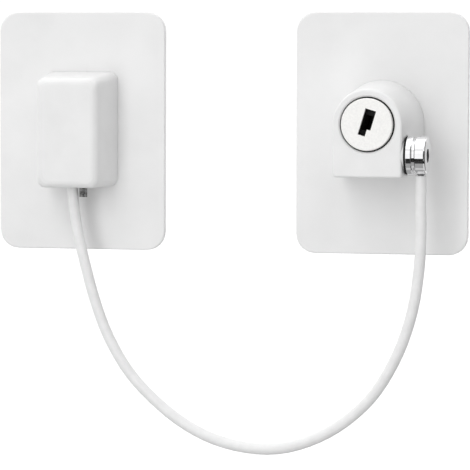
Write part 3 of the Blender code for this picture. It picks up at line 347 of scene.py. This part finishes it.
def add_floor():
    """White sheet under the object and behind it, which the chrome doesn't mirror."""
    data = bpy.data.meshes.new("floor")
    data.from_pydata(
        [
            (-FLOOR_SIDE, FLOOR_FRONT, FLOOR_HEIGHT), (FLOOR_SIDE, FLOOR_FRONT, FLOOR_HEIGHT),
            (FLOOR_SIDE, FLOOR_BACK, FLOOR_HEIGHT), (-FLOOR_SIDE, FLOOR_BACK, FLOOR_HEIGHT),
        ],
        [], [(0, 1, 2, 3)],
    )
    floor = bpy.data.objects.new("floor", data)
    scene.collection.objects.link(floor)
    material, _, shader = new_material("floor_white")
    shader.inputs["Base Color"].default_value = FLOOR_WHITE
    shader.inputs["Roughness"].default_value = FLOOR_ROUGHNESS
    shader.inputs["Emission Color"].default_value = (1, 1, 1, 1)
    shader.inputs["Emission Strength"].default_value = FLOOR_GLOW
    data.materials.append(material)
    floor.visible_glossy = False


def combine(tree, operation, *values):
    """The values joined by one operation, from the first to the last."""
    result = values[0]
    for value in values[1:]:
        made = tree.nodes.new("ShaderNodeMath")
        made.operation = operation
        for socket, part in zip(made.inputs, (result, value)):
            if isinstance(part, float):
                socket.default_value = part
            else:
                tree.links.new(part, socket)
        result = made.outputs["Value"]
    return result


def slope(tree, value, step, low, high):
    """A soft step from one strength to another."""
    ramp = tree.nodes.new("ShaderNodeMapRange")
    ramp.interpolation_type = "SMOOTHSTEP"
    ramp.inputs["From Min"].default_value = step[0]
    ramp.inputs["From Max"].default_value = step[1]
    ramp.inputs["To Min"].default_value = low
    ramp.inputs["To Max"].default_value = high
    tree.links.new(value, ramp.inputs["Value"])
    return ramp.outputs["Result"]


def all_but(tree, value):
    return combine(tree, "SUBTRACT", 1.0, value)


def dark_strip(tree, height, strip, dark):
    """One, but for a dark strip between two heights."""
    rise, fall = ((edge - STRIP_SOFTNESS, edge + STRIP_SOFTNESS) for edge in strip)
    begun = slope(tree, height, rise, 0.0, dark)
    not_ended = slope(tree, height, fall, 1.0, 0.0)
    return all_but(tree, combine(tree, "MULTIPLY", begun, not_ended))


def front_light(tree, across, depth, height):
    """Soft light from the front, the top and the right, with a brighter band left of the camera."""
    front = slope(tree, depth, FRONT_TO_BACK, WORLD_FRONT, 0.0)
    top = slope(tree, height, TOP_RISE, 0.0, WORLD_TOP)
    band = combine(
        tree, "MULTIPLY",
        slope(tree, across, BAND_LEFT, 0.0, 1.0),
        slope(tree, across, BAND_RIGHT, WORLD_BAND, 0.0),
        slope(tree, depth, FRONT_TO_BACK, 1.0, 0.0),
        slope(tree, height, BAND_BOTTOM, 0.0, 1.0),
    )
    right = slope(tree, across, RIGHT_RISE, 0.0, WORLD_RIGHT)
    return combine(tree, "ADD", front, top, band, right)


def front_strips(tree, depth, height):
    """Dark strips in front, which give the chrome its lines, and a darker table below them."""
    strips = combine(
        tree, "MULTIPLY",
        dark_strip(tree, height, LOW_STRIP, LOW_STRIP_DARK),
        dark_strip(tree, height, HIGH_STRIP, HIGH_STRIP_DARK),
        slope(tree, height, TABLE_EDGE, TABLE_SHARE, 1.0),
    )
    return combine(tree, "MAXIMUM", strips, slope(tree, depth, STRIPS_TO_BACK, 0.0, 1.0))


def back_light(tree, across, depth, height):
    return combine(
        tree, "MULTIPLY",
        slope(tree, depth, FRONT_TO_BACK, 0.0, WORLD_BACK),
        slope(tree, across, BACK_TO_RIGHT, 1.0, BACK_RIGHT_SHARE),
        slope(tree, height, BACK_FROM_LOW, BACK_LOW_SHARE, 1.0),
    )


def dark_card(tree, across, height, glossy):
    middle = slope(tree, combine(tree, "ABSOLUTE", height, 0.0), CARD_HEIGHT, 1.0, 0.0)
    under = combine(tree, "MULTIPLY", slope(tree, height, CARD_LOW_HEIGHT, 1.0, 0.0), glossy)
    return combine(
        tree, "MULTIPLY",
        combine(tree, "MAXIMUM", middle, under),
        slope(tree, across, CARD_SIDE, 0.0, CARD_DARK),
        combine(tree, "MAXIMUM", glossy, CARD_SHARE_IN_LIGHT),
    )


def add_world():
    """A studio round the object, by direction. The camera itself sees it plain white."""
    world = bpy.data.worlds.new("studio")
    world.use_nodes = True
    tree = world.node_tree
    scene.world = world
    place = tree.nodes.new("ShaderNodeTexCoord")
    split = tree.nodes.new("ShaderNodeSeparateXYZ")
    tree.links.new(place.outputs["Generated"], split.inputs["Vector"])
    across, depth, height = (split.outputs[axis] for axis in "XYZ")
    light_path = tree.nodes.new("ShaderNodeLightPath")
    front = combine(
        tree, "MULTIPLY", front_light(tree, across, depth, height), front_strips(tree, depth, height),
    )
    room = combine(tree, "ADD", front, back_light(tree, across, depth, height))
    card = dark_card(tree, across, height, light_path.outputs["Is Glossy Ray"])
    room = combine(tree, "MULTIPLY", room, all_but(tree, card))
    seen = combine(tree, "MULTIPLY", light_path.outputs["Is Camera Ray"], WORLD_BACK)
    background = tree.nodes["Background"]
    background.inputs["Color"].default_value = (1, 1, 1, 1)
    tree.links.new(combine(tree, "MAXIMUM", room, seen), background.inputs["Strength"])


def add_light(name, place, size, power):
    """A rectangular soft light that points at the object."""
    data = bpy.data.lights.new(name, "AREA")
    data.shape = "RECTANGLE"
    data.size, data.size_y = size
    data.energy = power
    light = bpy.data.objects.new(name, data)
    scene.collection.objects.link(light)
    light.location = place
    light.rotation_euler = (Vector(LIGHT_AIM) - Vector(place)).to_track_quat("-Z", "Y").to_euler()
    return light


add_camera()
add_cable()
dress_nodes()
add_floor()
add_world()
add_light("key", KEY_PLACE, KEY_SIZE, KEY_POWER)
soft_front = add_light("front", FRONT_PLACE, FRONT_SIZE, FRONT_POWER)
soft_front.visible_glossy = False
